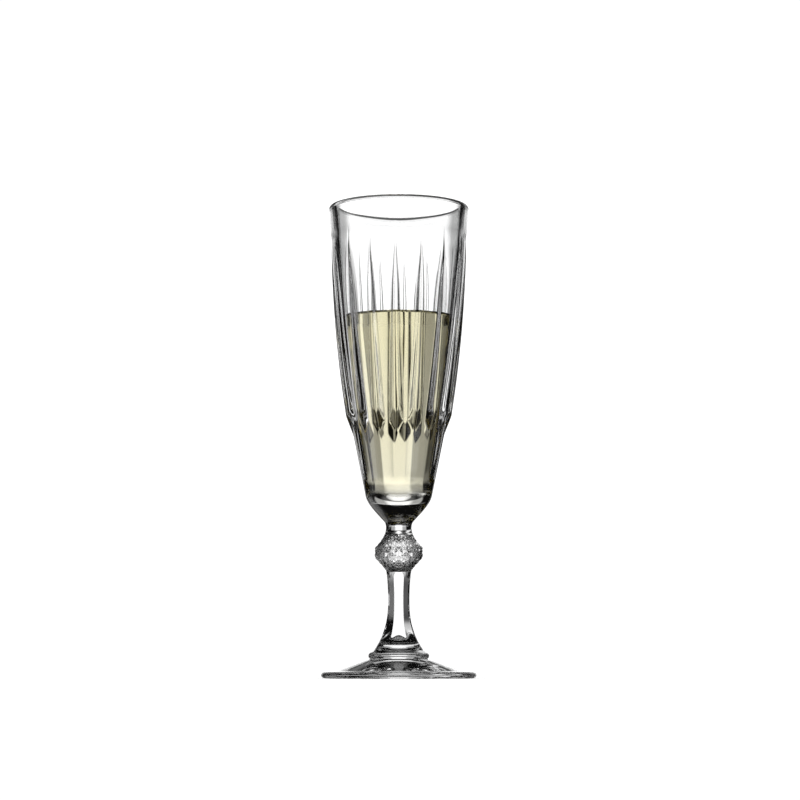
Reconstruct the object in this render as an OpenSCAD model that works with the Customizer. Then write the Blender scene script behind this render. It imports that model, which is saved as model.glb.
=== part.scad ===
// Stemmed sparkling-wine flute of pressed glass: a ribbed bowl, neck, diamond-cut knop,
// eight-flatted stem, collar bead and spreading foot, fused one above the other.
// +Z is up and the origin is the centre of the foot, on the table. Millimetres.

/* [Foot] */
// Diameter of the foot
foot_d = 62.4; // [56:0.2:70]
// Thickness of the foot's rounded edge
foot_edge_h = 2.6; // [2:0.1:3.4]
// Height of the foot, up to the collar
foot_h = 7.8; // [6.6:0.1:9]
// Diameter where the foot's slope ends at the flat margin
foot_slope_d = 50.6; // [44:0.2:52]
// Inner diameter of the ring that stands on the table
foot_ring_d = 51; // [44:0.5:54]
// Depth of the hollow under the foot
foot_hollow = 1.2; // [0.6:0.1:1.6]

/* [Collar] */
// Diameter over the bead
collar_d = 24.5; // [22.5:0.1:26]
// Height of the collar
collar_h = 3.4; // [3:0.1:4]

/* [Stem] */
// Height of the stem, from the collar to the knop
stem_h = 32; // [28:0.5:40]
// Width across the flats at the waist
stem_waist_d = 8.6; // [7.5:0.1:10]
// Diameter at the collar
stem_base_d = 20; // [18:0.1:20.4]
// Diameter under the knop
stem_top_d = 10.2; // [9.4:0.1:11.4]
// Number of flats
stem_flats = 8; // [6:2:12]

/* [Knop] */
// Diameter over the diamonds
knop_d = 19.5; // [17:0.1:23]
// Height of the knop
knop_h = 14; // [12:0.5:18]
// Diamonds in one row round the knop
knop_cuts = 20; // [14:1:24]
// Depth of the cuts between the diamonds
knop_cut_depth = 0.5; // [0.2:0.05:0.8]

/* [Neck] */
// Height of the neck
neck_h = 5.8; // [4.5:0.1:8]
// Diameter at the neck's waist
neck_waist_d = 10.2; // [9:0.1:11.4]
// Diameter where the neck meets the knop
neck_foot_d = 12.1; // [11.8:0.1:13]
// Diameter where the neck meets the bowl
neck_top_d = 11.9; // [11.8:0.1:13]

/* [Bowl] */
// Height of the bowl
bowl_h = 129; // [124:0.5:140]
// Outer diameter at the rim
rim_d = 57.2; // [56.4:0.1:60]
// Outer diameter over the belly, below the rim's flare
belly_d = 55.2; // [54:0.1:56]
// Outer diameter over the ribs at the shoulder
shoulder_d = 43.2; // [42.4:0.1:44.6]
// Diameter at the top of the plain lower cone
cone_top_d = 36.4; // [35.6:0.1:37.2]
// Diameter at the bottom of the plain lower cone
cone_foot_d = 26.9; // [26:0.1:28]
// Number of ribs and of the flats between them
ribs = 16; // [12:2:20]
// Width of a rib at the shoulder
rib_w = 5.6; // [3:0.1:6.4]
// Turn of the ribs against the stem's flats, in degrees
bowl_turn = -2.9; // [-11:0.1:11]

/* [Cavity] */
// Inner diameter just below the rim
cavity_top_d = 50.4; // [49.8:0.1:51.4]
// Inner diameter where the wall runs into the round bottom
cavity_foot_d = 26.6; // [24:0.1:27]
// Thickness of solid glass below the cavity
base_h = 9.8; // [9.4:0.1:12]
// Height of the cavity's rounded bottom
cavity_round_h = 7.7; // [6:0.1:9]

/* [Hidden] */
$fn = 96;
GLASS = [0.86, 0.90, 0.93, 0.42];

z_collar = foot_h;
z_stem = z_collar + collar_h;
z_knop = z_stem + stem_h;
z_neck = z_knop + knop_h;
z_bowl = z_neck + neck_h;

// Half the angle of one flat of the bowl, and the ratio of a flat's distance to its corner's
flat_half = 180 / ribs;
flat_ratio = cos(flat_half);

// Heights within the bowl
cone_foot_h = 10.3;
rib_tip_h = 35.3;
cone_top_h = 33.8;
shoulder_h = 42.5;
belly_h = bowl_h - 10;
rib_top_h = belly_h - 4;
flat_top_h = bowl_h - 7;
lip_r = 1.6;
lip_crown = 0.1;
BELLY_STEPS = 12;
WALL_STEPS = 14;

// Points along a curve with two or with one handle, from a to the last point
function curve3(a, b, c, d, n) = [for (i = [0:n]) let (t = i / n, s = 1 - t)
    s * s * s * a + 3 * s * s * t * b + 3 * s * t * t * c + t * t * t * d];
function curve2(a, b, c, n) = [for (i = [0:n]) let (t = i / n, s = 1 - t)
    s * s * a + 2 * s * t * b + t * t * c];

// Points on an arc about a centre
function arc(centre, r, from, to, n) =
    [for (i = [0:n]) let (a = from + (to - from) * i / n) centre + r * [cos(a), sin(a)]];

// A half profile and its mirror image as one closed outline
function both_sides(half) = concat(half, [for (i = [len(half) - 1:-1:0]) [-half[i][0], half[i][1]]]);

// Radius over the ribs at a height in the bowl, above the shoulder
function rib_r(h) = belly_d / 2
    - (belly_d - shoulder_d) / 2 * pow((belly_h - h) / (belly_h - shoulder_h - 1.1), 2);

// Inner radius of the bowl at a depth below the rim
cavity_depth = bowl_h - base_h - cavity_round_h;
cavity_taper = (cavity_top_d - cavity_foot_d) / 2;
function wall_r(depth) = cavity_top_d / 2
    - cavity_taper * (0.57 * depth / cavity_depth + 0.43 * pow(depth / cavity_depth, 2));

// Corners of the bowl's flats, from the lower cone to the belly, as [radius, height]
core_corners = concat(
    [[cone_foot_d / 2, cone_foot_h]],
    curve2([cone_top_d / 2, cone_top_h], [belly_d / 2 - 0.5, 78.6], [belly_d / 2, rib_top_h], BELLY_STEPS));

// The rounded base of the bowl, from the neck to the lower cone
base_curve = curve3([neck_top_d / 2, 0], [9.2, 3.6], [13.1, 7.4], [cone_foot_d / 2, cone_foot_h], 9);

// One pair of opposite flats: everything between two parallel curved faces
module flat_pair(profile, width) {
    rotate([90, 0, 0])
        linear_extrude(height = width, center = true)
            polygon(both_sides(profile));
}

// The bowl's body of revolution, a little outside the flats except at the base and the rim
module bowl_blank() {
    margin = 0.5;
    top_margin = 0.12;
    margin_end = belly_h - 8;
    cone_clear_h = cone_foot_h + 5;
    rotate_extrude()
        polygon(concat(
            [[0, 0]],
            base_curve,
            [for (p = core_corners) if (p[1] > cone_clear_h)
                p + [p[1] < margin_end ? margin : top_margin, 0]],
            [[belly_d / 2 + 0.2, belly_h]],
            arc([rim_d / 2 - lip_r, bowl_h - lip_r], lip_r, 0, 90, 6),
            [[0, bowl_h]]));
}

// The flats fade out in the base below and in the round rim above
module bowl_core() {
    profile = concat(
        [[0, -1], [neck_top_d, -1], [cone_foot_d / 2 + 0.4, cone_foot_h - 3]],
        [for (p = core_corners) [p[0] * (p[1] > cone_foot_h ? flat_ratio : 1), p[1]]],
        [[belly_d / 2 - 0.3, flat_top_h], [rim_d / 2 + 1, bowl_h - 1],
            [rim_d / 2 + 1, bowl_h + 1], [0, bowl_h + 1]]);
    intersection() {
        bowl_blank();
        intersection_for (i = [0:ribs / 2 - 1])
            rotate([0, 0, (i + 0.5) * 360 / ribs]) flat_pair(profile, rim_d + 4);
    }
}

// One rib: a spear that widens downwards and ends in a point on the lower cone
module rib() {
    outline = [[0, rib_tip_h], [rib_w / 2, shoulder_h + 6], [rib_w / 4, belly_h - 26], [0, rib_top_h]];
    inset = 3.5;
    crest = concat(
        [[cone_top_d / 2 + 0.25, rib_tip_h - 0.1]],
        [for (i = [0:BELLY_STEPS])
            let (h = shoulder_h + (rib_top_h - shoulder_h) * i / BELLY_STEPS) [rib_r(h), h]]);
    intersection() {
        rotate([90, 0, 0])
            linear_extrude(height = rib_w + 1, center = true)
                polygon(concat(
                    crest,
                    [[belly_d / 2 - inset, rib_top_h], [cone_top_d / 2 - inset, rib_tip_h - 0.1]]));
        rotate([90, 0, 90])
            linear_extrude(height = rim_d / 2)
                polygon(both_sides(outline));
    }
}

// The hollow of the bowl, with the lip's inner rounding
module cavity() {
    round_r = cavity_foot_d / 2;
    round_top = base_h + cavity_round_h;
    rotate_extrude()
        polygon(concat(
            [for (i = [0:7]) let (a = 90 * i / 8)
                [round_r * sin(a), round_top - cavity_round_h * cos(a)]],
            [for (i = [0:WALL_STEPS])
                let (h = round_top + (cavity_depth - lip_r) * i / WALL_STEPS) [wall_r(bowl_h - h), h]],
            arc([wall_r(lip_r) + lip_r, bowl_h - lip_r], lip_r, 170, 95, 5),
            [[wall_r(lip_r) + lip_r - lip_crown, bowl_h + 1], [0, bowl_h + 1]]));
}

module bowl() {
    color(GLASS)
        translate([0, 0, z_bowl]) rotate([0, 0, bowl_turn])
            difference() {
                union() {
                    bowl_core();
                    for (i = [0:ribs - 1])
                        rotate([0, 0, i * 360 / ribs]) rib();
                }
                cavity();
            }
}

module neck() {
    waist = neck_waist_d / 2;
    color(GLASS)
        translate([0, 0, z_neck])
            rotate_extrude()
                polygon(concat(
                    [[0, 0]],
                    curve3([neck_foot_d / 2, 0], [waist + 0.05, neck_h * 0.28],
                        [waist - 0.42, neck_h * 0.76], [neck_top_d / 2, neck_h], 10),
                    [[0, neck_h]]));
}

// Radius of the knop over the tips of its diamonds: a taper, an upright band and a flare
function knop_r(h) = min(
    knop_d / 2,
    stem_top_d / 2 + 0.80 * h + 0.02 * h * h,
    neck_foot_d / 2 + 0.50 * (knop_h - h) + 0.06 * pow(knop_h - h, 2));

// Diamonds are pyramids on a lattice of tips and crossings, split along the cuts
module knop() {
    levels = 9;
    columns = 2 * knop_cuts;
    function depth(j) = j == 0 || j == levels ? 0 : (j == 1 || j == levels - 1 ? 0.6 : 1) * knop_cut_depth;
    function at(i, j) = (i % columns) + columns * j;
    function is_tip(i, j) = (i + j) % 2 == 0;
    points = [for (j = [0:levels], i = [0:columns - 1])
        let (h = knop_h * j / levels, r = knop_r(h) - (is_tip(i, j) ? 0 : depth(j)), a = 360 * i / columns)
        [r * cos(a), r * sin(a), h]];
    cells = [for (j = [0:levels - 1], i = [0:columns - 1]) each is_tip(i, j)
        ? [[at(i, j), at(i, j + 1), at(i + 1, j)], [at(i + 1, j), at(i, j + 1), at(i + 1, j + 1)]]
        : [[at(i, j), at(i + 1, j + 1), at(i + 1, j)], [at(i, j), at(i, j + 1), at(i + 1, j + 1)]]];
    ends = [[for (i = [0:columns - 1]) at(i, 0)], [for (i = [columns - 1:-1:0]) at(i, levels)]];
    color(GLASS)
        translate([0, 0, z_knop]) polyhedron(points = points, faces = concat(cells, ends));
}

// Radius of the stem: a flare into the collar, a waist and a slight swell under the knop
waist_h = stem_h * 0.62;
function stem_r(h) = stem_waist_d / 2
    + (h < waist_h ? (stem_base_d - stem_waist_d) / 2 * pow(1 - h / waist_h, 2.4)
        : (stem_top_d - stem_waist_d) / 2 * pow((h - waist_h) / (stem_h - waist_h), 2.4));

// The round blank stands clear of the flats' corners along the shaft, and carries both ends
module stem() {
    steps = 20;
    flat_from = 0.22 * stem_h;
    flat_to = 0.95 * stem_h;
    corner = 1 / cos(180 / stem_flats);
    heights = [for (i = [0:steps]) stem_h * i / steps];
    function on_shaft(h) = h > flat_from && h < flat_to;
    color(GLASS)
        translate([0, 0, z_stem])
            intersection() {
                rotate_extrude()
                    polygon(concat([[0, 0]],
                        [for (h = heights) [stem_r(h) * (on_shaft(h) ? corner + 0.02 : 1), h]],
                        [[0, stem_h]]));
                intersection_for (i = [0:stem_flats / 2 - 1])
                    rotate([0, 0, i * 360 / stem_flats])
                        flat_pair(concat([[0, 0]],
                            [for (h = heights) [stem_r(h) * (on_shaft(h) ? 1 : 1.03), h]],
                            [[0, stem_h]]), stem_base_d + 2);
            }
}

module collar() {
    bead_r = 1.5;
    color(GLASS)
        translate([0, 0, z_collar])
            rotate_extrude()
                polygon(concat(
                    [[0, 0], [collar_d / 2 - 0.7, 0]],
                    arc([collar_d / 2 - bead_r, 1.25], bead_r, -38, 68, 9),
                    [[stem_base_d / 2, collar_h], [0, collar_h]]));
}

module foot() {
    nose = foot_edge_h / 2;
    hollow_steps = 6;
    color(GLASS)
        rotate_extrude()
            polygon(concat(
                [for (i = [0:hollow_steps]) let (t = i / hollow_steps)
                    [foot_ring_d / 2 * t, foot_hollow * (1 - t * t)]],
                arc([foot_d / 2 - nose, nose], nose, -90, 90, 10),
                curve2([foot_slope_d / 2, foot_edge_h + 0.15], [foot_slope_d * 0.36, foot_edge_h + 2.7],
                    [collar_d / 2 - 0.2, foot_h], 6),
                [[0, foot_h]]));
}

bowl();
neck();
knop();
stem();
collar();
foot();
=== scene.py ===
"""Looks of a stemmed champagne flute: pressed glass in six fused pieces, filled with pale wine."""
import logging
import math
from dataclasses import dataclass, field
from enum import Enum

import bpy
import numpy as np
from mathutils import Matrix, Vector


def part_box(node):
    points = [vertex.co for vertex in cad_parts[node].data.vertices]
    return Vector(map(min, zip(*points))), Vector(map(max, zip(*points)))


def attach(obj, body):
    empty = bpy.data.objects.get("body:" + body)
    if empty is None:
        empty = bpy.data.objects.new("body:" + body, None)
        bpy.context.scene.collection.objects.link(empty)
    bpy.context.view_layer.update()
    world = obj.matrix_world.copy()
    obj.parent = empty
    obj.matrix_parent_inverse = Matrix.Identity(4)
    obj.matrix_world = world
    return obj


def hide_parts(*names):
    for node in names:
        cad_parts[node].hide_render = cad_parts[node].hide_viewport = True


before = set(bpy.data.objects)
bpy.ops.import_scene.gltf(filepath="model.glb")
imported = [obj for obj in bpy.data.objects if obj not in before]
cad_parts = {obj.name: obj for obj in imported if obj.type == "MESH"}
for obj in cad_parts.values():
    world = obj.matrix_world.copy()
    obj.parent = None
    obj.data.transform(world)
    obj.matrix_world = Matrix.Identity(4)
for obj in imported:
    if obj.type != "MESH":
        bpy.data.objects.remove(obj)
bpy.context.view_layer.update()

MM = 0.001
BODY = "root"
JOINT_GAP = 0.01 * MM

CORD_STRETCH = (1.0, 1.0, 0.25)
CORD_SPAN = (0.35, 0.75)
WIPE_SCALE = 140.0
WIPE_DETAIL = 5.0
WIPE_SPAN = (0.5, 0.72)
RIPPLE_DETAIL = 1.5

log = logging.getLogger("flute")

Colour = tuple[float, float, float]
Point = tuple[float, float]
Array = np.ndarray
Material = bpy.types.Material
Socket = bpy.types.NodeSocket


class Closing(Enum):
    """How the first or the last ring of a turned form is closed."""

    FUSED = "flat face welded to the next piece"
    POLE = "surface that meets the axis"


class Slot(Enum):
    """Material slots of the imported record."""

    CLEAR = "clear_glass"
    CUT = "cut_glass"
    WINE = "wine"


# ---- curves and small maths


def curve(handles: list[Point], steps: int) -> Array:
    """Samples a Bezier curve with two, three or four handles.

    Args:
        handles: Points as (radius, height) in millimetres.
        steps: Number of spans along the curve.

    Returns:
        An array of steps + 1 points.
    """
    t = np.linspace(0.0, 1.0, steps + 1)[:, None]
    order = len(handles) - 1
    return sum(
        math.comb(order, k) * (1 - t) ** (order - k) * t**k * np.array(handle)
        for k, handle in enumerate(handles)
    )


def arc(centre: Point, radius: float, start: float, end: float, steps: int) -> Array:
    """Samples an arc.

    Args:
        centre: Centre as (radius, height) in millimetres.
        radius: Radius of the arc.
        start: First angle in degrees, from straight outwards towards up.
        end: Last angle in degrees.
        steps: Number of spans.

    Returns:
        An array of steps + 1 points.
    """
    a = np.radians(np.linspace(start, end, steps + 1))
    return np.stack([centre[0] + radius * np.cos(a), centre[1] + radius * np.sin(a)], axis=1)


def smooth_step(low: float, high: float, x: Array) -> Array:
    """Rises smoothly from 0 at low to 1 at high."""
    t = np.clip((x - low) / (high - low), 0.0, 1.0)
    return t * t * (3 - 2 * t)


def soft_min(a: Array, b: Array, blend: float) -> Array:
    """The lower of two surfaces with their crossing rounded over a width of blend."""
    h = np.clip(0.5 + 0.5 * (b - a) / blend, 0.0, 1.0)
    return b * (1 - h) + a * h - blend * h * (1 - h)


def soft_max(a: Array, b: Array, blend: float) -> Array:
    """The higher of two surfaces with their crossing rounded over a width of blend."""
    return -soft_min(-a, -b, blend)


def from_centre(angle: Array, count: int) -> Array:
    """Angle in radians from the nearest of count equal divisions of the circle, signed."""
    pitch = 2 * math.pi / count
    return angle - pitch * np.round(angle / pitch)


# ---- turned forms


@dataclass
class TurnedForm:
    """A closed form built of rings of points round the axis, in order along its surface.

    Attributes:
        columns: Number of points in each ring.
        base: Height of the form's own zero above the table, in millimetres.
        rings: Rings added so far.
        creases: Places of the rings that stay sharp.
    """

    columns: int
    base: float = 0.0
    rings: list[Array] = field(default_factory=list)
    creases: list[int] = field(default_factory=list)

    @property
    def angles(self) -> Array:
        """Angle of each column in radians."""
        return np.arange(self.columns) * 2 * math.pi / self.columns

    def add(self, radius: float | Array, height: float | Array,
            angles: Array | None = None) -> None:
        """Adds one ring.

        Args:
            radius: One radius, or one per column, in millimetres.
            height: One height above the form's zero, or one per column.
            angles: Angles of the columns in radians, where they aren't evenly spaced.
        """
        r = np.broadcast_to(radius, self.columns)
        z = np.broadcast_to(height, self.columns) + self.base
        a = self.angles if angles is None else angles
        self.rings.append(np.stack([r * np.cos(a), r * np.sin(a), z], axis=1) * MM)

    def add_profile(self, points: Array, angles: Array | None = None) -> None:
        """Adds one round ring for each (radius, height) point."""
        for radius, height in points:
            self.add(float(radius), float(height), angles)

    def build(self, name: str, start: Closing, end: Closing) -> bpy.types.Object:
        """Joins the rings into a closed, smooth-shaded mesh object.

        Args:
            name: Name of the piece.
            start: How the first ring is closed.
            end: How the last ring is closed.

        Returns:
            The new object, linked to the scene. Fused faces use the second material slot.
        """
        n, count = self.columns, len(self.rings)
        first, last = self.rings[0], self.rings[-1]
        first[:, 2] += JOINT_GAP * (start is Closing.FUSED)
        last[:, 2] -= JOINT_GAP * (end is Closing.FUSED)
        points = np.concatenate([*self.rings, first.mean(axis=0)[None], last.mean(axis=0)[None]])
        here = np.arange(n)
        there = (here + 1) % n
        row = (np.arange(count - 1) * n)[:, None]
        quads = np.stack([row + here, row + there, row + n + there, row + n + here], axis=2)
        top = (count - 1) * n
        low_fan = np.stack([np.full(n, count * n), there, here], axis=1)
        high_fan = np.stack([top + here, top + there, np.full(n, count * n + 1)], axis=1)
        faces = quads.reshape(-1, 4).tolist() + low_fan.tolist() + high_fan.tolist()
        mesh = bpy.data.meshes.new(name)
        mesh.from_pydata(points.tolist(), [], faces)
        mesh.polygons.foreach_set("use_smooth", np.ones(len(faces), dtype=bool))
        sides = (count - 1) * n
        slots = np.zeros(len(faces), dtype=np.int32)
        slots[sides:sides + n] = int(start is Closing.FUSED)
        slots[sides + n:] = int(end is Closing.FUSED)
        mesh.polygons.foreach_set("material_index", slots)
        self._crease(mesh, start, end)
        mesh.validate()
        obj = bpy.data.objects.new(name, mesh)
        bpy.context.scene.collection.objects.link(obj)
        return obj

    def _crease(self, mesh: bpy.types.Mesh, start: Closing, end: Closing) -> None:
        """Marks the rim of each fused face and each crease sharp, so that both sides keep their normals.

        Args:
            mesh: The mesh of the form.
            start: How the first ring is closed.
            end: How the last ring is closed.
        """
        top = (len(self.rings) - 1) * self.columns
        sharp = np.zeros(len(mesh.edges), dtype=bool)
        ends = np.empty(len(mesh.edges) * 2, dtype=np.int32)
        mesh.edges.foreach_get("vertices", ends)
        ends = ends.reshape(-1, 2)
        if start is Closing.FUSED:
            sharp |= (ends < self.columns).all(axis=1)
        if end is Closing.FUSED:
            sharp |= ((ends >= top) & (ends < top + self.columns)).all(axis=1)
        for ring in self.creases:
            sharp |= (ends // self.columns == ring).all(axis=1)
        mesh.attributes.new("sharp_edge", "BOOLEAN", "EDGE").data.foreach_set("value", sharp)


# ---- shader groups


@dataclass
class NodeSheet:
    """A node tree with short calls for adding and joining nodes."""

    tree: bpy.types.NodeTree

    def node(self, kind: str, inputs: dict[str | int, object] | None = None,
             **settings: object) -> bpy.types.Node:
        """Adds a node.

        Args:
            kind: Blender's type name of the node.
            inputs: Values or sockets for its inputs, by name or by place.
            settings: Properties of the node itself.

        Returns:
            The new node.
        """
        made = self.tree.nodes.new(kind)
        for key, value in settings.items():
            setattr(made, key, value)
        for key, value in (inputs or {}).items():
            if isinstance(value, Socket):
                self.tree.links.new(value, made.inputs[key])
            else:
                made.inputs[key].default_value = value
        return made

    def maths(self, operation: str, *values: object) -> Socket:
        """Adds a Math node on numbers or sockets and returns its output."""
        return self.node("ShaderNodeMath", dict(enumerate(values)), operation=operation).outputs[0]

    def noise(self, vector: Socket, scale: object, detail: float = 3.0) -> Socket:
        """Adds a noise texture and returns its value."""
        made = self.node("ShaderNodeTexNoise", {"Vector": vector, "Scale": scale, "Detail": detail})
        return made.outputs["Fac"]

    def ramp(self, value: object, low: object, high: object) -> Socket:
        """Maps a value smoothly from low..high to 0..1, clamped, and returns the result."""
        span = {"Value": value, "From Min": low, "From Max": high}
        return self.node("ShaderNodeMapRange", span, interpolation_type="SMOOTHSTEP").outputs["Result"]


def new_group(name: str, takes: dict[str, str], gives: dict[str, str]) -> tuple[NodeSheet, dict, dict]:
    """Makes an empty shader node group with named sockets.

    Args:
        name: Name of the group.
        takes: Input names and their socket types.
        gives: Output names and their socket types.

    Returns:
        The group's sheet, its input sockets by name, and its output inputs by name.
    """
    group = bpy.data.node_groups.new(name, "ShaderNodeTree")
    for label, kind in takes.items():
        group.interface.new_socket(label, in_out="INPUT", socket_type=kind)
    for label, kind in gives.items():
        group.interface.new_socket(label, in_out="OUTPUT", socket_type=kind)
    sheet = NodeSheet(group)
    source = sheet.node("NodeGroupInput")
    sink = sheet.node("NodeGroupOutput")
    return sheet, {k: source.outputs[k] for k in takes}, {k: sink.inputs[k] for k in gives}


def pressed_surface_group() -> bpy.types.NodeTree:
    """The skin of pressed glass: faint cords in the melt, wiping smears and a soft ripple.

    Returns:
        A group with Color, Roughness and Height outputs.
    """
    number, colour = "NodeSocketFloat", "NodeSocketColor"
    sheet, given, out = new_group(
        "pressed_surface",
        {"Clear": colour, "Corded": colour, "Cord Scale": number, "Polish": number,
         "Smear": number, "Ripple Scale": number},
        {"Color": colour, "Roughness": number, "Height": number},
    )
    place = sheet.node("ShaderNodeTexCoord").outputs["Object"]
    drawn = sheet.node("ShaderNodeMapping", {"Vector": place, "Scale": CORD_STRETCH}).outputs[0]
    cords = sheet.ramp(sheet.noise(drawn, given["Cord Scale"]), *CORD_SPAN)
    tint = sheet.node("ShaderNodeMixRGB", {
        "Fac": cords, "Color1": given["Clear"], "Color2": given["Corded"]})
    wiped = sheet.ramp(sheet.noise(place, WIPE_SCALE, WIPE_DETAIL), *WIPE_SPAN)
    rough = sheet.maths("MULTIPLY_ADD", wiped, given["Smear"], given["Polish"])
    ripple = sheet.noise(place, given["Ripple Scale"], RIPPLE_DETAIL)
    for socket, key in ((tint.outputs[0], "Color"), (rough, "Roughness"), (ripple, "Height")):
        sheet.tree.links.new(socket, out[key])
    return sheet.tree


def studio_panel_group() -> bpy.types.NodeTree:
    """A soft-edged bright panel of the studio, seen in a direction.

    Returns:
        A group with a Mask output, 1 on the panel and 0 off it.
    """
    number = "NodeSocketFloat"
    sheet, given, out = new_group(
        "studio_panel",
        {"Direction": "NodeSocketVector", "Bearing": number, "Half Width": number,
         "Bottom": number, "Top": number, "Edge": number},
        {"Mask": number},
    )
    axes = sheet.node("ShaderNodeSeparateXYZ", {0: given["Direction"]}).outputs
    sin, cos = sheet.maths("SINE", given["Bearing"]), sheet.maths("COSINE", given["Bearing"])
    ahead = sheet.maths("MULTIPLY_ADD", axes[0], sin, sheet.maths("MULTIPLY", axes[1], cos))
    aside = sheet.maths("SUBTRACT", sheet.maths("MULTIPLY", axes[0], cos),
                        sheet.maths("MULTIPLY", axes[1], sin))
    swing = sheet.maths("ARCTAN2", sheet.maths("ABSOLUTE", aside), ahead)
    rise = sheet.maths("ARCSINE", axes[2])
    outer = sheet.maths("MULTIPLY", given["Edge"], -1.0)

    def inside(value: Socket, limit: Socket, sign: float) -> Socket:
        """1 where the value is within an upper limit (sign 1) or a lower one (-1), over a soft edge."""
        gap = sheet.maths("MULTIPLY", sheet.maths("SUBTRACT", limit, value), sign)
        return sheet.ramp(gap, outer, given["Edge"])

    mask = sheet.maths("MULTIPLY", inside(swing, given["Half Width"], 1.0),
                       sheet.maths("MULTIPLY", inside(rise, given["Top"], 1.0),
                                   inside(rise, given["Bottom"], -1.0)))
    sheet.tree.links.new(mask, out["Mask"])
    return sheet.tree


# ---- finishes


def blank_material(name: str) -> tuple[Material, NodeSheet]:
    """Makes a material without nodes.

    Args:
        name: Name of the material.

    Returns:
        The material and its sheet of nodes.
    """
    material = bpy.data.materials.new(name)
    material.use_nodes = True
    material.node_tree.nodes.clear()
    return material, NodeSheet(material.node_tree)


@dataclass(frozen=True)
class GlassFinish:
    """Clear pressed soda glass.

    Attributes:
        clear: Tint of clean glass.
        corded: Tint of the faint cords drawn in the melt.
        polish: Roughness of fire-polished glass.
        smear: Extra roughness of wiping smears.
        ripple_depth: Depth of the ripple in metres.
    """

    name: str
    clear: Colour
    corded: Colour
    cord_scale: float = 60.0
    ior: float = 1.5
    polish: float = 0.0
    smear: float = 0.015
    ripple_scale: float = 90.0
    ripple_depth: float = 0.00002

    def build(self) -> Material:
        """Makes the material.

        Returns:
            The material.
        """
        material, sheet = blank_material(self.name)
        skin = sheet.node("ShaderNodeGroup", node_tree=bpy.data.node_groups["pressed_surface"])
        for key, value in {"Clear": (*self.clear, 1), "Corded": (*self.corded, 1),
                           "Cord Scale": self.cord_scale, "Polish": self.polish,
                           "Smear": self.smear, "Ripple Scale": self.ripple_scale}.items():
            skin.inputs[key].default_value = value
        bump = sheet.node("ShaderNodeBump", {"Strength": 1.0, "Distance": self.ripple_depth,
                                             "Height": skin.outputs["Height"]})
        shader = sheet.node("ShaderNodeBsdfPrincipled", {
            "Base Color": skin.outputs["Color"],
            "Roughness": skin.outputs["Roughness"],
            "Normal": bump.outputs["Normal"],
            "IOR": self.ior,
            "Transmission Weight": 1.0,
        })
        sheet.node("ShaderNodeOutputMaterial", {"Surface": shader.outputs[0]})
        return material


@dataclass(frozen=True)
class FusedFinish:
    """The inside of a fused joint, where glass runs on into glass and bends no light."""

    name: str = "fused_joint"

    def build(self) -> Material:
        """Makes the material.

        Returns:
            The material.
        """
        material, sheet = blank_material(self.name)
        glass = sheet.node("ShaderNodeBsdfPrincipled", {
            "Base Color": (1, 1, 1, 1), "Roughness": 0.0, "IOR": 1.0, "Transmission Weight": 1.0})
        sheet.node("ShaderNodeOutputMaterial", {"Surface": glass.outputs[0]})
        return material


@dataclass(frozen=True)
class WineFinish(GlassFinish):
    """Pale sparkling wine: clear like glass, with patches of haze for cords.

    Attributes:
        takes: Colour that the wine lets through in depth.
        density: How fast it does so, per metre.
    """

    name: str = "pale_wine"
    clear: Colour = (1.0, 0.995, 0.96)
    corded: Colour = (0.985, 0.975, 0.9)
    cord_scale: float = 40.0
    ior: float = 1.38
    smear: float = 0.0
    ripple_scale: float = 60.0
    ripple_depth: float = 0.00001
    takes: Colour = (0.86, 0.75, 0.12)
    density: float = 14.0

    def build(self) -> Material:
        """Makes the material.

        Returns:
            The material.
        """
        material = super().build()
        sheet = NodeSheet(material.node_tree)
        depth = sheet.node("ShaderNodeVolumeAbsorption", {
            "Color": (*self.takes, 1), "Density": self.density})
        output = material.node_tree.nodes["Material Output"]
        sheet.tree.links.new(depth.outputs[0], output.inputs["Volume"])
        return material


@dataclass
class Finishes:
    """The materials of the flute, built once."""

    clear: Material
    cut: Material
    fused: Material
    wine: Material

    @classmethod
    def build(cls) -> "Finishes":
        """Makes the shared node group and every material, and returns the materials."""
        pressed_surface_group()
        return cls(
            clear=GlassFinish("clear_pressed_glass", (1.0, 1.0, 1.0), (0.985, 0.99, 0.99)).build(),
            cut=GlassFinish("diamond_cut_glass", (1.0, 1.0, 1.0), (0.98, 0.985, 0.99),
                            smear=0.02, ripple_scale=160.0).build(),
            fused=FusedFinish().build(),
            wine=WineFinish().build(),
        )


# ---- pieces of the flute


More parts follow.
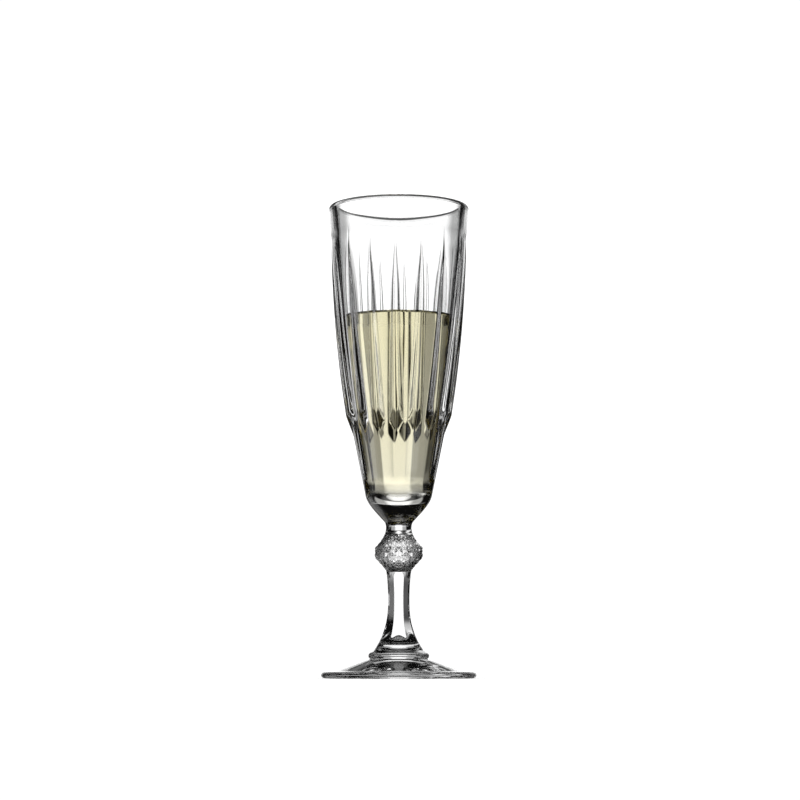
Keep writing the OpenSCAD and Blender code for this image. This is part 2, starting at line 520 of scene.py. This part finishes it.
@dataclass
class Piece:
    """One piece of the flute, which stands for the CAD node of the same name. Sizes are in millimetres.

    Attributes:
        node: Name of the CAD node.
        columns: Points in each ring.
        start, end: How its first and its last ring are closed.
        slot: The record's slot for its finish.
    """

    node: str
    columns: int = 256
    start: Closing = Closing.FUSED
    end: Closing = Closing.FUSED
    slot: Slot = Slot.CLEAR

    @property
    def base(self) -> float:
        """Height of the node's underside above the table, in millimetres."""
        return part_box(self.node)[0][2] / MM

    @property
    def height(self) -> float:
        """Height of the node itself, in millimetres."""
        low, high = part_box(self.node)
        return (high[2] - low[2]) / MM

    def form(self) -> TurnedForm:
        """An empty form that starts at the node's underside."""
        return TurnedForm(self.columns, self.base)

    def outline(self) -> Array:
        """The side of a round piece, as (radius, height) points."""
        raise NotImplementedError

    def shape(self) -> TurnedForm:
        """The rings of the piece.

        Returns:
            The form that they make.
        """
        form = self.form()
        form.add_profile(self.outline())
        return form

    def build(self, finishes: Finishes) -> bpy.types.Object:
        """Builds the piece from the flute's materials and returns it."""
        made = self.shape().build(f"{self.node}_glass", self.start, self.end)
        return self.dress(made, finishes.cut if self.slot is Slot.CUT else finishes.clear, finishes.fused)

    def dress(self, obj: bpy.types.Object, *materials: Material) -> bpy.types.Object:
        """Gives a built piece its materials, its body and its place in the record.

        Args:
            obj: The built piece.
            materials: Its finish, and the finish of its fused faces.

        Returns:
            The same object.
        """
        for material in materials:
            obj.data.materials.append(material)
        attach(obj, BODY)
        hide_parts(self.node)
        return obj


@dataclass
class Bowl(Piece):
    """The ribbed cup, with its thick base, round lip and smooth cavity.

    Attributes:
        turn: Angle of the first rib about the axis, in radians.
        base_pulls, belly_pull: Bezier handles of the solid base and of the belly above the cone.
        belly_h: Height at which the ribs' crests would meet the belly.
        flare_slope, flare_bend: How far the flare opens per millimetre, and how fast that grows.
        rib_spear, spear_share: Length of a rib's slender top, and its first width as a share of the full.
        tip_lean: How much higher the cut of a rib's lower tip lies for each millimetre to the side.
        tip_margin: Height below and above the ribs' tops in which they run out.
        sink, sink_grow: How far the corners sink below the slender ribs, and the heights where they start.
        corner_soft: Rounding of the corners between the flats, in radians.
        flats_grow, flats_fade: Heights over which the flats come out of the round, and run out again.
        dip_grow, dip_fade: Heights over which the rings dip towards the ribs' tips, and level out again.
        least_half, most_share: Least half width and most share of the pitch that the columns give a rib.
        proud_span: Least and most height of a rib that they are laid out for.
        bands: Foot of each band of rings up the outside, and its number of rings.
        wall_taper: Even and growing shares of the cavity's taper.
    """

    node: str = "bowl"
    columns: int = 384
    end: Closing = Closing.POLE
    ribs: int = 16
    turn: float = math.radians(-2.9)
    neck_r: float = 5.95
    base_pulls: tuple[Point, Point] = ((9.1, 3.4), (12.75, 7.0))
    cone_foot: Point = (13.45, 10.3)
    cone_top: Point = (18.2, 33.8)
    belly_pull: Point = (27.1, 78.6)
    belly_r: float = 27.6
    belly_h: float = 119.0
    rib_top_h: float = 115.0
    flare_start: float = 0.5
    flare_slope: float = 0.06
    flare_bend: float = 0.0012
    outline_steps: tuple[int, int, int] = (60, 80, 20)
    shoulder_r: float = 21.6
    shoulder_h: float = 43.6
    rib_half: float = 2.8
    rib_even: float = 5.0
    rib_spear: float = 22.0
    spear_share: float = 0.5
    rib_tip_h: float = 35.0
    rib_flank: float = 1.1
    tip_slope: float = 0.2
    tip_lean: float = 1.35
    tip_margin: float = 3.0
    edge: float = 0.2
    sink: float = 0.25
    sink_grow: Point = (50.0, 70.0)
    corner_soft: float = 0.008
    flats_grow: Point = (9.0, 20.0)
    flats_fade: Point = (84.0, 114.0)
    dip_grow: Point = (22.0, 33.0)
    dip_fade: Point = (46.0, 60.0)
    least_half: float = 0.9
    most_share: float = 0.62
    proud_span: Point = (0.2, 1.0)
    run_share: float = 0.45
    ease_share: float = 0.22
    flat_columns: int = 8
    bands: tuple[tuple[float, int], ...] = ((0.0, 22), (10.3, 16), (30.0, 58), (52.0, 40), (112.0, 16))
    lip_r: float = 1.7
    lip_middle_r: float = 26.9
    lip_steps: int = 12
    wall_taper: Point = (0.57, 0.43)
    wall_foot_r: float = 13.3
    wall_rings: int = 30
    floor_h: float = 9.8
    floor_round: float = 7.7
    floor_start: float = 3.0
    floor_rings: int = 18

    @property
    def lip_h(self) -> float:
        """Height at which the lip starts to round."""
        return self.height - self.lip_r

    @property
    def knee_h(self) -> float:
        """Height at which the cavity's wall meets its rounded bottom."""
        return self.floor_h + self.floor_round

    def corner(self, h: Array) -> Array:
        """Radius at the corners between the flats, without the ribs.

        Args:
            h: Heights above the bowl's foot.

        Returns:
            One radius for each height.
        """
        base_steps, belly_steps, flare_points = self.outline_steps
        base = curve([(self.neck_r, 0.0), *self.base_pulls, self.cone_foot], base_steps)
        belly = curve([self.cone_top, self.belly_pull, (self.belly_r, self.rib_top_h)], belly_steps)
        rise = np.linspace(self.flare_start, self.height - self.rib_top_h, flare_points)
        flare_r = self.belly_r + self.flare_slope * rise + self.flare_bend * rise**2
        flare = np.stack([flare_r, self.rib_top_h + rise], axis=1)
        line = np.concatenate([base, belly, flare])
        return np.interp(h, line[:, 1], line[:, 0])

    def crest(self, h: Array) -> Array:
        """Radius over the ribs."""
        drop = (self.belly_h - h) / (self.belly_h - self.shoulder_h)
        return self.belly_r - (self.belly_r - self.shoulder_r) * drop**2

    def rib_width(self, h: Array) -> Array:
        """Half the width of a rib, which narrows to nothing at its top."""
        heights = [self.shoulder_h + self.rib_even, self.rib_top_h - self.rib_spear, self.rib_top_h]
        return np.interp(h, heights, [self.rib_half, self.rib_half * self.spear_share, 0.0])

    def core(self, h: Array) -> Array:
        """Radius at the corners, sunk a little below the slender part of the ribs."""
        kept = 1 - smooth_step(self.rib_top_h - self.tip_margin, self.belly_h, h)
        return self.corner(h) - self.sink * (smooth_step(*self.sink_grow, h) * kept)

    def outside(self, across: Array, h: Array) -> Array:
        """Outer radius.

        Args:
            across: Angles from the middle of the nearest rib.
            h: Heights above the bowl's foot.

        Returns:
            The radius at each height and angle.
        """
        corner = self.core(h)
        half = math.pi / self.ribs
        soft = np.sqrt(across**2 + self.corner_soft**2)
        flat = math.cos(half) / np.cos(half - soft)
        share = smooth_step(*self.flats_grow, h) * (1 - smooth_step(*self.flats_fade, h))
        aside = corner * np.abs(across)
        proud = self.crest(h) - corner
        flank = self.rib_flank * (self.rib_width(h) - aside)
        tip = self.tip_slope * (h - self.rib_tip_h - self.tip_lean * aside)
        rib = soft_min(soft_min(proud, flank, self.edge), tip, self.edge)
        rib = soft_max(rib, np.zeros_like(rib), self.edge) * (h < self.rib_top_h + self.tip_margin)
        return corner * (1 + share * (flat - 1)) + rib

    def across(self, q: float) -> Array:
        """Angle of each column from its rib's middle, closer together along the rib's flanks.

        Args:
            q: Height above the bowl's foot.

        Returns:
            One angle per column, for one rib after another.
        """
        h = np.array([q])
        radius = float(self.core(h)[0])
        pitch = radius * math.pi / self.ribs
        width = min(max(float(self.rib_width(h)[0]), self.least_half), self.most_share * pitch)
        proud = float(np.clip(self.crest(h) - self.core(h), *self.proud_span)[0])
        run = min(proud / self.rib_flank, self.run_share * width)
        ease = self.ease_share * run
        ridge = [0.0, 0.5 * (width - run), width - run - ease, width - run + ease, width - ease, width + ease]
        rest = np.linspace(width + ease, pitch, self.flat_columns)[1:]
        out = np.array([*ridge, *rest]) / radius
        return np.tile(np.concatenate([out, -out[-2:0:-1]]), self.ribs)

    def ring(self, q: float) -> tuple[Array, Array, Array]:
        """One ring of the outside, which dips to a point with the tip of each rib.

        Args:
            q: Height of the ring at the ribs' middles.

        Returns:
            Radius, height and angle of each column.
        """
        h = np.array([q])
        across = self.across(q)
        each = self.columns // self.ribs
        rib = (np.arange(self.columns) + each // 2 - 1) // each
        angles = self.turn + rib * 2 * math.pi / self.ribs + across
        dip = smooth_step(*self.dip_grow, h) * (1 - smooth_step(*self.dip_fade, h))
        aside = np.minimum(np.abs(across) * float(self.core(h)[0]), self.rib_half)
        heights = q + self.tip_lean * aside * dip
        return self.outside(across, heights), heights, angles

    def wall(self, depth: Array) -> Array:
        """Inner radius of the cavity's wall.

        Args:
            depth: Depths below the rim.

        Returns:
            One radius for each depth.
        """
        t = depth / (self.height - self.floor_h - self.floor_round)
        top = self.lip_middle_r - self.lip_r
        even, growing = self.wall_taper
        return top - (top - self.wall_foot_r) * (even * t + growing * t**2)

    def hollow(self, steps: int, top: float) -> Array:
        """The cavity's outline, from its middle up.

        Args:
            steps: Number of spans up the wall.
            top: Height at which the outline ends.

        Returns:
            An array of (radius, height) points.
        """
        turn = np.radians(np.linspace(self.floor_start, 90, self.floor_rings))
        low_r = self.wall_foot_r * np.sin(turn)
        low_h = self.knee_h - self.floor_round * np.cos(turn)
        h = np.linspace(self.knee_h, top, steps + 1)[1:]
        return np.concatenate([np.stack([low_r, low_h], axis=1),
                               np.stack([self.wall(self.height - h), h], axis=1)])

    def shape(self) -> TurnedForm:
        """The rings of the bowl.

        Returns:
            The form that they make.
        """
        form = self.form()
        tops = [foot for foot, _ in self.bands[1:]] + [self.lip_h]
        for (foot, rings), top in zip(self.bands, tops):
            for q in np.linspace(foot, top, rings, endpoint=False):
                form.add(*self.ring(float(q)))
        angles = self.ring(self.lip_h)[2]
        lip = arc((self.lip_middle_r, self.lip_h), self.lip_r, 0, 180, self.lip_steps)
        form.add_profile(lip, angles)
        form.add_profile(self.hollow(self.wall_rings, self.lip_h)[::-1][1:], angles)
        return form


@dataclass
class Neck(Piece):
    """The short waisted link between the knop and the bowl.

    Attributes:
        pulls: Bezier handles of its side, as (radius past the waist's, share of the height).
    """

    node: str = "neck"
    foot_r: float = 6.05
    waist_r: float = 5.1
    top_r: float = 5.95
    pulls: tuple[Point, Point] = ((0.05, 0.28), (-0.42, 0.76))
    steps: int = 28

    def outline(self) -> Array:
        """The side of the neck, as (radius, height) points."""
        pulls = [(self.waist_r + out, self.height * share) for out, share in self.pulls]
        return curve([(self.foot_r, 0), *pulls, (self.top_r, self.height)], self.steps)


@dataclass
class CutPiece(Piece):
    """A piece with cuts round its side.

    Attributes:
        rings: Number of rings up its side.
    """

    rings: int = 97

    def outside(self, angle: Array, h: Array) -> Array:
        """Outer radius at angles about the axis and heights above the piece's foot."""
        raise NotImplementedError

    def shape(self) -> TurnedForm:
        """The rings of the piece.

        Returns:
            The form that they make.
        """
        form = self.form()
        heights = np.linspace(0, self.height, self.rings)
        for h, radii in zip(heights, self.outside(form.angles[None, :], heights[:, None])):
            form.add(radii, h)
        return form


@dataclass
class Knop(CutPiece):
    """The ball, cut all over in small diamonds.

    Attributes:
        lower_bend, upper_bend: Slope and curvature of the shoulders.
        shoulder_soft: Rounding where the two would cross.
        tip: Height of a blunt tip, as a share of the sharp pyramid's.
    """

    node: str = "knop"
    columns: int = 320
    slot: Slot = Slot.CUT
    rings: int = 109
    cuts: int = 20
    levels: int = 9
    ball_r: float = 9.75
    ball_soft: float = 0.5
    stem_r: float = 5.1
    neck_r: float = 6.05
    lower_bend: Point = (0.80, 0.02)
    upper_bend: Point = (0.50, 0.06)
    shoulder_soft: float = 0.4
    depth: float = 0.55
    tip: float = 0.9
    tip_soft: float = 0.15
    fade_h: float = 2.2

    def over_tips(self, h: Array) -> Array:
        """Radius over the tips of the diamonds.

        Args:
            h: Heights above the knop's foot.

        Returns:
            One radius for each height.
        """
        up = self.height - h
        lower = self.stem_r + self.lower_bend[0] * h + self.lower_bend[1] * h**2
        upper = self.neck_r + self.upper_bend[0] * up + self.upper_bend[1] * up**2
        shoulders = soft_min(lower, upper, self.shoulder_soft)
        return soft_min(shoulders, np.full_like(h, self.ball_r), self.ball_soft)

    def outside(self, angle: Array, h: Array) -> Array:
        """Outer radius, with a pyramid on every diamond.

        Args:
            angle: Angles about the axis.
            h: Heights above the knop's foot.

        Returns:
            The radius at each height and angle.
        """
        u = angle * self.cuts / math.pi
        v = h * self.levels / self.height
        a, b = u + v, u - v
        off = np.maximum(np.abs(a - 2 * np.round(a / 2)), np.abs(b - 2 * np.round(b / 2)))
        pyramid = soft_min(1 - off, np.full_like(off, self.tip), self.tip_soft)
        fade = smooth_step(0.0, self.fade_h, h) * (1 - smooth_step(self.height - self.fade_h, self.height, h))
        return self.over_tips(h) - self.depth * fade * (self.tip - pyramid)


@dataclass
class Stem(CutPiece):
    """The waisted column with eight flats, round at both ends.

    Attributes:
        flare: Power by which it widens from the waist.
        corner_soft: Rounding of the corners, as a share of the radius.
        flats_grow: Heights over which the flats come out of the round foot.
        flats_fade: Depths below the top between which they run out again.
    """

    node: str = "stem"
    flats: int = 8
    base_r: float = 10.0
    waist_r: float = 4.3
    top_r: float = 5.1
    waist_share: float = 0.62
    flare: float = 2.4
    corner_soft: float = 0.006
    flats_grow: Point = (4.0, 7.5)
    flats_fade: Point = (2.6, 0.8)

    def apothem(self, h: Array) -> Array:
        """Distance of the flats from the axis.

        Args:
            h: Heights above the stem's foot.

        Returns:
            One distance for each height.
        """
        waist_h = self.height * self.waist_share
        low = np.clip(1 - h / waist_h, 0, 1) ** self.flare * (self.base_r - self.waist_r)
        high = np.clip((h - waist_h) / (self.height - waist_h), 0, 1) ** self.flare
        return self.waist_r + low + high * (self.top_r - self.waist_r)

    def outside(self, angle: Array, h: Array) -> Array:
        """Outer radius.

        Args:
            angle: Angles about the axis.
            h: Heights above the stem's foot.

        Returns:
            The radius at each height and angle.
        """
        across = from_centre(angle, self.flats)
        sharpest = np.full_like(across, 1 / math.cos(math.pi / self.flats))
        corner = soft_min(1 / np.cos(across), sharpest, self.corner_soft)
        fade_low, fade_high = (self.height - depth for depth in self.flats_fade)
        share = smooth_step(*self.flats_grow, h) * (1 - smooth_step(fade_low, fade_high, h))
        return self.apothem(h) * (1 + share * (corner - 1))


@dataclass
class Collar(Piece):
    """The bead where the stem meets the foot.

    Attributes:
        bead_span: First and last angle of the round, in degrees.
        rise_pull: Bezier handle between the bead and the stem, as (radius past the stem's, height).
    """

    node: str = "collar"
    bead_middle: Point = (10.75, 1.25)
    bead_r: float = 1.5
    bead_span: Point = (-56.0, 66.0)
    bead_steps: int = 20
    stem_r: float = 10.0
    rise_pull: Point = (0.75, 2.85)
    rise_steps: int = 8

    def outline(self) -> Array:
        """The bead and the rise to the stem.

        Returns:
            An array of (radius, height) points.
        """
        out, up = self.rise_pull
        bead = arc(self.bead_middle, self.bead_r, *self.bead_span, self.bead_steps)
        rise = curve([tuple(bead[-1]), (self.stem_r + out, up), (self.stem_r, self.height)], self.rise_steps)
        return np.concatenate([[[bead[0][0], 0.0]], bead[1:], rise[1:]])


@dataclass
class Foot(Piece):
    """The spreading base, hollow below, with a round edge.

    Attributes:
        edge_span: First and last angle of its round, in degrees.
        ring_pulls: Handle and end of the curve from the hollow to the flat ring, as radii past ring_r.
        hollow_span: First and last radius of the hollow's rings, as shares of the ring's.
        margin_pulls: Handles of the margin: radii past edge_r, slope_r and slope_r, heights past edge_h.
        slope_pull: Bezier handle of the slope, as (share of its radius, height past the edge's).
        steps: Spans along the ring's rounding, the edge, the margin and the slope.
    """

    node: str = "foot"
    columns: int = 320
    start: Closing = Closing.POLE
    edge_r: float = 31.2
    edge_h: float = 2.6
    edge_span: Point = (-90.0, 84.0)
    slope_r: float = 25.3
    ring_r: float = 25.5
    ring_pulls: Point = (0.6, 1.6)
    hollow: float = 1.2
    hollow_span: Point = (0.03, 0.97)
    margin_pulls: tuple[Point, Point, Point] = ((-2.6, 0.06), (0.9, 0.1), (-0.6, 0.4))
    slope_pull: Point = (0.74, 2.6)
    collar_r: float = 11.6
    hollow_rings: int = 26
    steps: tuple[int, int, int, int] = (6, 22, 12, 22)

    def outline(self) -> Array:
        """The foot's outline, from the middle of its underside round to the collar.

        Returns:
            An array of (radius, height) points.
        """
        nose = self.edge_h / 2
        t = np.linspace(*self.hollow_span, self.hollow_rings)
        under = np.stack([self.ring_r * t, self.hollow * (1 - t**2)], axis=1)
        flat = [(self.ring_r + out, 0.0) for out in self.ring_pulls]
        sole = curve([tuple(under[-1]), *flat], self.steps[0])
        edge = arc((self.edge_r - nose, nose), nose, *self.edge_span, self.steps[1])
        pulls = [(r + out, self.edge_h + up)
                 for r, (out, up) in zip((self.edge_r, self.slope_r, self.slope_r), self.margin_pulls)]
        margin = curve([tuple(edge[-1]), *pulls], self.steps[2])
        share, up = self.slope_pull
        slope = curve([tuple(margin[-1]), (self.slope_r * share, self.edge_h + up),
                       (self.collar_r, self.height)], self.steps[3])
        return np.concatenate([under, sole[1:], edge, margin[1:], slope[1:]])


@dataclass
class Wine:
    """The filling. It wets the cavity's floor, and a hair of air parts it from the wall.

    Attributes:
        level: Height of its surface above the table, in millimetres.
        bite: How far it laps into the floor, so that no air is left there.
        free_span: Heights about the wall's foot over which it comes free of the glass.
        climb: How far its edge climbs the wall.
        curve: Power by which the climbing edge falls away from the wall.
        rim_shares: Radii of the level surface's outer rings, as shares of its own.
        inner_shares: The same for the first and the last of its inner rings.
    """

    bowl: Bowl
    level: float = 145.6
    gap: float = 0.2
    bite: float = 0.04
    free_span: Point = (-1.5, 2.5)
    climb: float = 0.75
    curl: float = 2.2
    curve: float = 3.2
    wall_rings: int = 40
    curl_steps: int = 16
    rim_shares: tuple[float, ...] = (1.0, 0.995, 0.97)
    inner_shares: Point = (0.9, 0.04)
    inner_rings: int = 14
    columns: int = 256

    def side(self, top: float) -> Array:
        """The outline of the wine against the glass, from its middle up.

        Args:
            top: Height above the bowl's foot at which the outline ends.

        Returns:
            An array of (radius, height) points.
        """
        points = self.bowl.hollow(self.wall_rings, top)
        low, high = (self.bowl.knee_h + rise for rise in self.free_span)
        free = smooth_step(low, high, points[:, 1])
        points[:, 0] -= self.gap * free - self.bite * (1 - free)
        points[:, 1] -= self.bite * (1 - free)
        return points

    def build(self, finishes: Finishes) -> bpy.types.Object:
        """Builds and dresses the wine.

        Args:
            finishes: The materials of the flute.

        Returns:
            The wine.
        """
        surface = self.level - self.bowl.base
        form = TurnedForm(self.columns, self.bowl.base)
        side = self.side(surface + self.climb)
        form.add_profile(side)
        form.creases.append(len(form.rings) - 1)
        edge = side[-1][0]
        fall = np.linspace(0.0, 1.0, self.curl_steps + 1)[1:-1]
        curl_h = surface + self.climb * (1 - fall) ** self.curve
        form.add_profile(np.stack([edge - self.curl * fall, curl_h], axis=1))
        for share in (*self.rim_shares, *np.linspace(*self.inner_shares, self.inner_rings)):
            form.add(float((edge - self.curl) * share), surface)
        made = form.build("wine_fill", Closing.POLE, Closing.POLE)
        made.data.materials.append(finishes.wine)
        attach(made, BODY)
        return made


# ---- studio


@dataclass(frozen=True)
class Panel:
    """A soft-edged bright panel, placed by direction in degrees and given a strength."""

    bearing: float
    half_width: float
    bottom: float
    top: float
    edge: float
    power: float


@dataclass
class Studio:
    """A pale floor in a white room, bright panels for the glass, and the camera. Lengths are in metres.

    Attributes:
        dark: Brightness between the panels.
        card_half: Half the card's width at its near and far end.
        card_reach: Distance of its near and far end behind the flute.
        card_core: Share of its near half width that is lit in full.
        card_taper: Share of its length over which each end tapers, and the share of its width left there.
    """

    floor_r: float = 0.75
    floor_grid: tuple[int, int] = (96, 12)
    floor_albedo: float = 0.8
    floor_mottle: float = 0.012
    floor_mottle_scale: float = 40.0
    room_light: float = 1.35
    dark: float = 0.004
    camera_distance: float = 1.0335
    camera_height: float = 0.005
    camera_aside: float = 0.0005
    pitch: float = math.radians(5.928)
    lens: float = 115.27
    sensor: float = 36.0
    clip: tuple[float, float] = (0.01, 100.0)
    card_half: tuple[float, float] = (0.014, 0.03)
    card_reach: tuple[float, float] = (0.034, 0.23)
    card_lift: float = 0.0004
    card_power: float = 1.15
    card_core: float = 0.5
    card_taper: tuple[float, float] = (0.04, 0.7)
    card_steps: int = 24
    bounces: int = 32
    glossy_bounces: int = 12
    panels: tuple[Panel, ...] = (
        Panel(0, 11, -12, 18, 3, 0.7),
        Panel(0, 25, -12, 18, 2, 0.4),
        Panel(0, 23, 5, 10.5, 2.5, 0.25),
        Panel(31, 6, 9, 18, 3, 0.45),
        Panel(-31, 6, 9, 18, 3, 0.2),
        Panel(0, 10, 21, 29, 3, 0.5),
        Panel(0, 14, -40, -12, 4, 0.12),
        Panel(98, 26, -32, -8, 5, 0.24),
        Panel(-90, 13, -12, 13, 3, 0.8),
        Panel(-90, 26, -12, 13, 3, 0.35),
        Panel(-45, 18, -45, -14, 4, 0.75),
        Panel(-45, 24, -62, -14, 5, 0.25),
        Panel(135, 16, -27, -4, 4, 0.8),
        Panel(135, 24, -30, -5, 5, 0.25),
    )

    def place_camera(self) -> bpy.types.Object:
        """Adds the camera, almost at table level and tilted up.

        Returns:
            The camera.
        """
        data = bpy.data.cameras.new("camera")
        data.lens = self.lens
        data.sensor_width = self.sensor
        data.clip_start, data.clip_end = self.clip
        camera = bpy.data.objects.new("camera", data)
        camera.location = (self.camera_aside, -self.camera_distance, self.camera_height)
        camera.rotation_euler = (math.pi / 2 + self.pitch, 0.0, 0.0)
        bpy.context.scene.collection.objects.link(camera)
        bpy.context.scene.camera = camera
        return camera

    def paint_floor(self) -> Material:
        """Makes the floor's pale, faintly mottled finish.

        Returns:
            The material.
        """
        material = bpy.data.materials.new("pale_floor")
        material.use_nodes = True
        sheet = NodeSheet(material.node_tree)
        place = sheet.node("ShaderNodeTexCoord").outputs["Object"]
        mottle = sheet.maths("MULTIPLY_ADD", sheet.noise(place, self.floor_mottle_scale),
                             self.floor_mottle, self.floor_albedo - self.floor_mottle / 2)
        shader = material.node_tree.nodes["Principled BSDF"]
        sheet.tree.links.new(mottle, shader.inputs["Base Color"])
        shader.inputs["Roughness"].default_value = 1.0
        shader.inputs["Specular IOR Level"].default_value = 0.0
        return material

    def lay_floor(self) -> bpy.types.Object:
        """Adds the round pale floor that the flute stands on, which the glass doesn't see.

        Returns:
            The floor.
        """
        steps, rings = self.floor_grid
        points = [(0.0, 0.0, 0.0)]
        for r in np.linspace(self.floor_r / rings, self.floor_r, rings):
            points += [(r * math.cos(a), r * math.sin(a), 0.0) for a in TurnedForm(steps).angles]
        faces = [(0, 1 + i, 1 + (i + 1) % steps) for i in range(steps)]
        for k in range(rings - 1):
            low, high = 1 + k * steps, 1 + (k + 1) * steps
            faces += [(low + i, high + i, high + (i + 1) % steps, low + (i + 1) % steps)
                      for i in range(steps)]
        mesh = bpy.data.meshes.new("floor")
        mesh.from_pydata(points, [], faces)
        mesh.materials.append(self.paint_floor())
        floor = bpy.data.objects.new("floor", mesh)
        bpy.context.scene.collection.objects.link(floor)
        floor.visible_transmission = False
        floor.visible_glossy = False
        return floor

    def paint_card(self) -> Material:
        """Makes the card's light, brightest along its middle.

        Returns:
            The material.
        """
        material = bpy.data.materials.new("bright_card")
        material.use_nodes = True
        sheet = NodeSheet(material.node_tree)
        place = sheet.node("ShaderNodeSeparateXYZ", {0: sheet.node("ShaderNodeTexCoord").outputs["Object"]})
        aside = sheet.maths("ABSOLUTE", place.outputs["X"])
        glow = sheet.ramp(aside, self.card_half[1], self.card_half[0] * self.card_core)
        shader = material.node_tree.nodes["Principled BSDF"]
        shader.inputs["Base Color"].default_value = (0, 0, 0, 1)
        shader.inputs["Specular IOR Level"].default_value = 0.0
        shader.inputs["Emission Color"].default_value = (1, 1, 1, 1)
        power = sheet.maths("MULTIPLY", glow, self.card_power)
        sheet.tree.links.new(power, shader.inputs["Emission Strength"])
        material.cycles.emission_sampling = "NONE"
        return material

    def lay_card(self) -> bpy.types.Object:
        """Adds the bright card on the floor behind the flute, which only the glass sees.

        Returns:
            The card.
        """
        steps = self.card_steps
        t = np.linspace(0.0, 1.0, steps + 1)
        end, left = self.card_taper
        taper = np.interp(t, [0.0, end, 1 - end, 1.0], [left, 1.0, 1.0, left])
        half = taper * np.interp(t, [0, 1], self.card_half)
        along = np.interp(t, [0, 1], self.card_reach)
        lift = np.full_like(t, self.card_lift)
        points = np.concatenate([np.stack([side * half, along, lift], axis=1) for side in (-1, 0, 1)])
        faces = []
        for left_row in (0, steps + 1):
            right_row = left_row + steps + 1
            faces += [(left_row + i, right_row + i, right_row + i + 1, left_row + i + 1)
                      for i in range(steps)]
        mesh = bpy.data.meshes.new("card")
        mesh.from_pydata(points.tolist(), [], faces)
        mesh.materials.append(self.paint_card())
        card = bpy.data.objects.new("card", mesh)
        bpy.context.scene.collection.objects.link(card)
        card.visible_camera = False
        card.visible_diffuse = False
        card.visible_shadow = False
        return card

    def light_room(self) -> bpy.types.World:
        """Sets the studio's light: even white on the floor, panels in a dark room for the glass.

        Returns:
            The world.
        """
        world = bpy.data.worlds.new("studio")
        world.use_nodes = True
        world.node_tree.nodes.clear()
        sheet = NodeSheet(world.node_tree)
        way = sheet.node("ShaderNodeTexCoord").outputs["Generated"]
        group = studio_panel_group()
        glow: object = self.dark
        for spec in self.panels:
            panel = sheet.node("ShaderNodeGroup", node_tree=group)
            sheet.tree.links.new(way, panel.inputs["Direction"])
            for key, value in (("Bearing", spec.bearing), ("Half Width", spec.half_width),
                               ("Bottom", spec.bottom), ("Top", spec.top), ("Edge", spec.edge)):
                panel.inputs[key].default_value = math.radians(value)
            glow = sheet.maths("MULTIPLY_ADD", panel.outputs["Mask"], spec.power, glow)
        path = sheet.node("ShaderNodeLightPath").outputs
        diffuse = sheet.maths("GREATER_THAN", path["Diffuse Depth"], 0.5)
        indoors = sheet.maths("MULTIPLY", glow, sheet.maths("SUBTRACT", 1.0, diffuse))
        lit = sheet.maths("MULTIPLY_ADD", diffuse, self.room_light, indoors)
        seen = sheet.maths("MAXIMUM", lit, path["Is Camera Ray"])
        backdrop = sheet.node("ShaderNodeBackground", {"Color": (1, 1, 1, 1), "Strength": seen})
        sheet.node("ShaderNodeOutputWorld", {"Surface": backdrop.outputs[0]})
        world.cycles.sampling_method = "NONE"
        bpy.context.scene.world = world
        return world

    def set_up(self) -> None:
        """Builds the studio, and sets the view transform and the bounces that clear glass needs."""
        self.place_camera()
        self.lay_floor()
        self.lay_card()
        self.light_room()
        scene = bpy.context.scene
        scene.view_settings.view_transform = "Standard"
        scene.cycles.max_bounces = self.bounces
        scene.cycles.transmission_bounces = self.bounces
        scene.cycles.glossy_bounces = self.glossy_bounces


def main() -> None:
    """Builds the studio, then the flute from its foot up, then the wine."""
    logging.basicConfig(level=logging.INFO, format="%(message)s")
    Studio().set_up()
    finishes = Finishes.build()
    bowl = Bowl()
    for part in (Foot(), Collar(), Stem(), Knop(), Neck(), bowl, Wine(bowl)):
        made = part.build(finishes)
        log.info("%s: %d faces", made.name, len(made.data.polygons))


if __name__ == "__main__":
    main()
